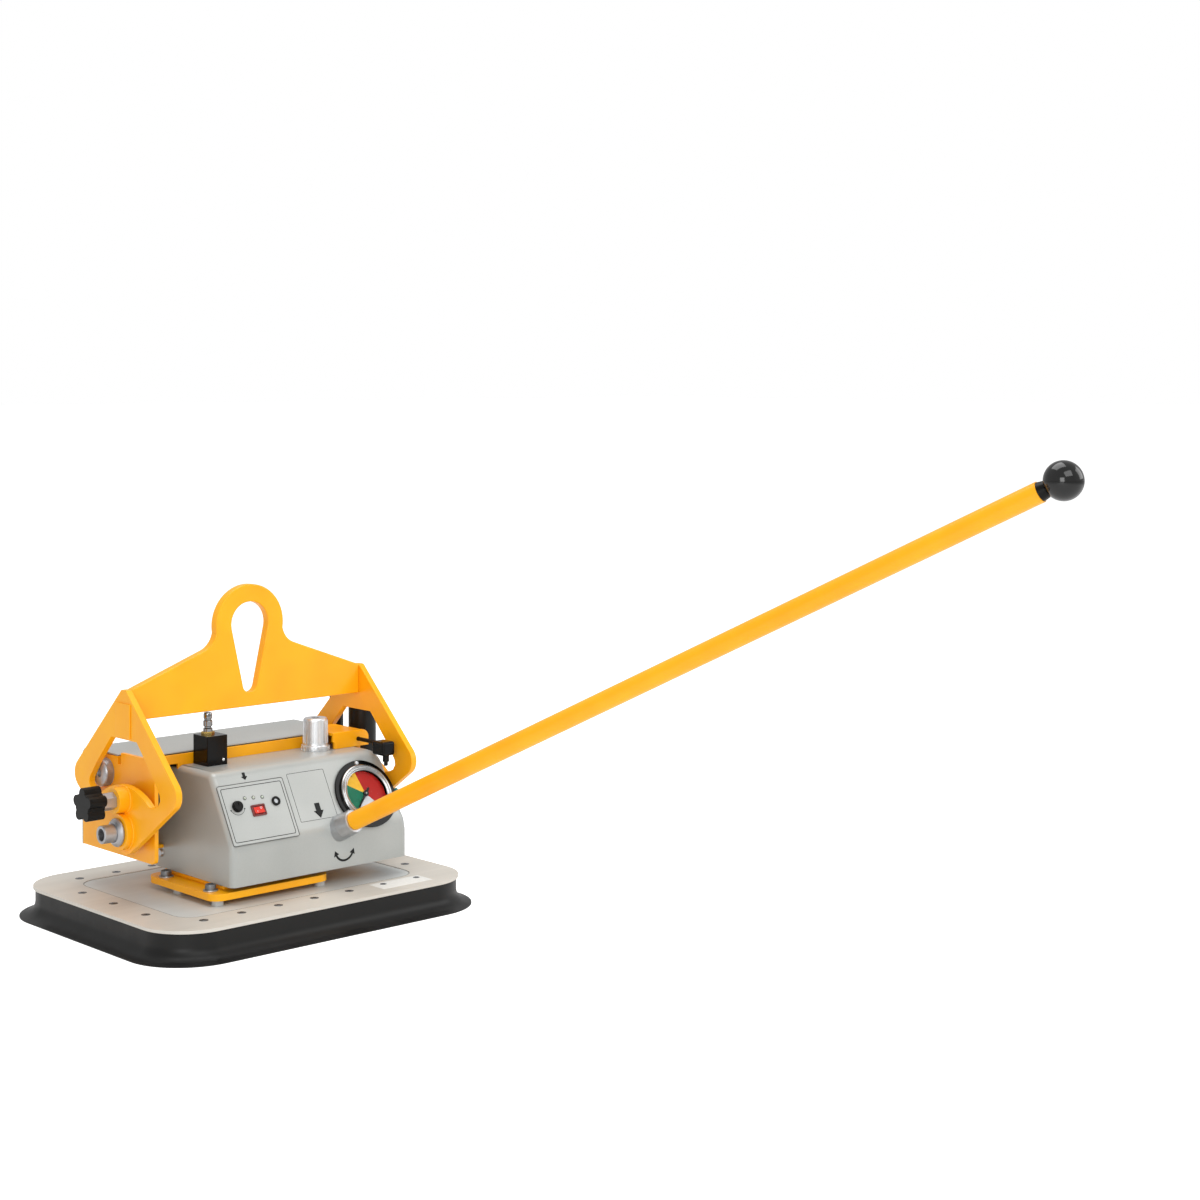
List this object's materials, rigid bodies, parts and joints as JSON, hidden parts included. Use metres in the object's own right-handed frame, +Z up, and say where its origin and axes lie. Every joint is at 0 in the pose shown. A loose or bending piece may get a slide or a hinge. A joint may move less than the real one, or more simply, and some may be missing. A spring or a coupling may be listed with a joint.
{
  "type": "vacuum lifting suction cup head",
  "caption": "Rectangular vacuum suction cup head with rubber lip, covered vacuum unit with gauge and alarm panel, tilting lifting bail with eye and long guide handle.",
  "frame": {"origin": "centre of the rubber lip at the load surface", "axes": "+X left to right across the bail, +Y front to back away from the guide handle, +Z up through the lifting eye"},
  "size_m": [0.535, 1.1849, 0.5624],
  "materials": {
    "rubber": "matte moulded rubber",
    "bare_aluminium": "brushed plate",
    "zinc_steel": "zinc-plated screws",
    "yellow_paint": "satin powder coat",
    "black_paint": "satin paint",
    "grey_paint": "satin powder coat",
    "machined_aluminium": "machined",
    "turned_steel": "turned",
    "chrome": "polished",
    "brass": "machined",
    "bronze": "sintered bearing bronze",
    "black_plastic": "moulded",
    "silencer_plastic": "moulded",
    "gloss_black": "gloss",
    "black_hose": "smooth hose",
    "board_green": "coated board",
    "battery_blue": "shrink wrap",
    "dial_face": "printed",
    "needle_black": "satin paint",
    "clear_glass": "clear",
    "switch_red": "gloss",
    "led_green": "clear tinted"
  },
  "bodies": {
    "base": {"rubber_seal": "rubber", "base_plate": "bare_aluminium", "clamp_frame": "bare_aluminium", "clamp_screws": "zinc_steel", "pad_spacers": "machined_aluminium", "adapter_plate": "yellow_paint", "adapter_bolts": "zinc_steel", "suction_port": "machined_aluminium", "chassis": "yellow_paint", "end_plate_left": "yellow_paint", "end_plate_right": "yellow_paint", "frame_rail": "yellow_paint", "side_bracket": "yellow_paint", "back_cover": "grey_paint", "front_cover": "grey_paint", "cover_screws": "zinc_steel", "vacuum_tank": "black_paint", "ejector_body": "machined_aluminium", "ejector_nozzle": "brass", "check_valve": "machined_aluminium", "filter_body": "black_plastic", "filter_cap": "turned_steel", "alarm_box": "black_plastic", "circuit_board": "board_green", "battery_pack": "battery_blue", "buzzer": "black_plastic", "control_valve": "machined_aluminium", "inlet_block": "black_plastic", "air_nipple": "chrome", "silencer": "silencer_plastic", "gauge_flange": "black_plastic", "gauge_case": "black_plastic", "gauge_bezel": "chrome", "gauge_dial": "dial_face", "gauge_glass": "clear_glass", "gauge_screws": "zinc_steel", "alarm_panel": "dial_face", "charge_jack": "black_plastic", "status_leds": "led_green", "pivot_tubes": "turned_steel", "pivot_collars": "turned_steel", "side_manifold": "black_plastic", "filter_canister": "gloss_black", "filter_hose": "black_hose", "valve_block": "black_plastic"},
    "bail": {"lifting_beam": "yellow_paint", "arm_left": "yellow_paint", "arm_right": "yellow_paint", "pivot_bushes": "bronze", "plunger_body": "turned_steel"},
    "lock": {"lock_pin": "turned_steel", "star_knob": "black_plastic"},
    "handle": {"valve_spindle": "turned_steel", "handle_collar": "grey_paint", "handle_tube": "yellow_paint", "knob_ferrule": "black_plastic", "ball_knob": "gloss_black"},
    "needle": {"gauge_needle": "needle_black"},
    "knob": {"set_knob": "black_plastic"},
    "rocker": {"power_switch": "switch_red"}
  },
  "joints": [
    {"name": "bail_tilt", "type": "hinge", "parent": "base", "child": "bail", "pos_m": [0, 0, 0.117], "axis": [1, 0, 0], "range_deg": [-40, 40]},
    {"name": "lock_slide", "type": "slide", "parent": "bail", "child": "lock", "axis": [1, 0, 0], "range_m": [0, 0.008]},
    {"name": "handle_twist", "type": "hinge", "parent": "base", "child": "handle", "pos_m": [0.062, -0.103, 0.104], "axis": [0.222, -0.8709, 0.4384], "range_deg": [-45, 45]},
    {"name": "needle_swing", "type": "hinge", "parent": "base", "child": "needle", "pos_m": [0.11, -0.08866, 0.13629], "axis": [0, -0.866, 0.5], "range_deg": [-270, 0], "stiffness_Nm_per_rad": 0.0005},
    {"name": "set_knob_turn", "type": "hinge", "parent": "base", "child": "knob", "pos_m": [-0.0703, -0.08353, 0.14418], "axis": [0, -0.866, 0.5], "range_deg": [-135, 135]},
    {"name": "switch_rock", "type": "hinge", "parent": "base", "child": "rocker", "pos_m": [-0.0433, -0.08476, 0.13565], "axis": [1, 0, 0], "range_deg": [-8, 8]}
  ]
}
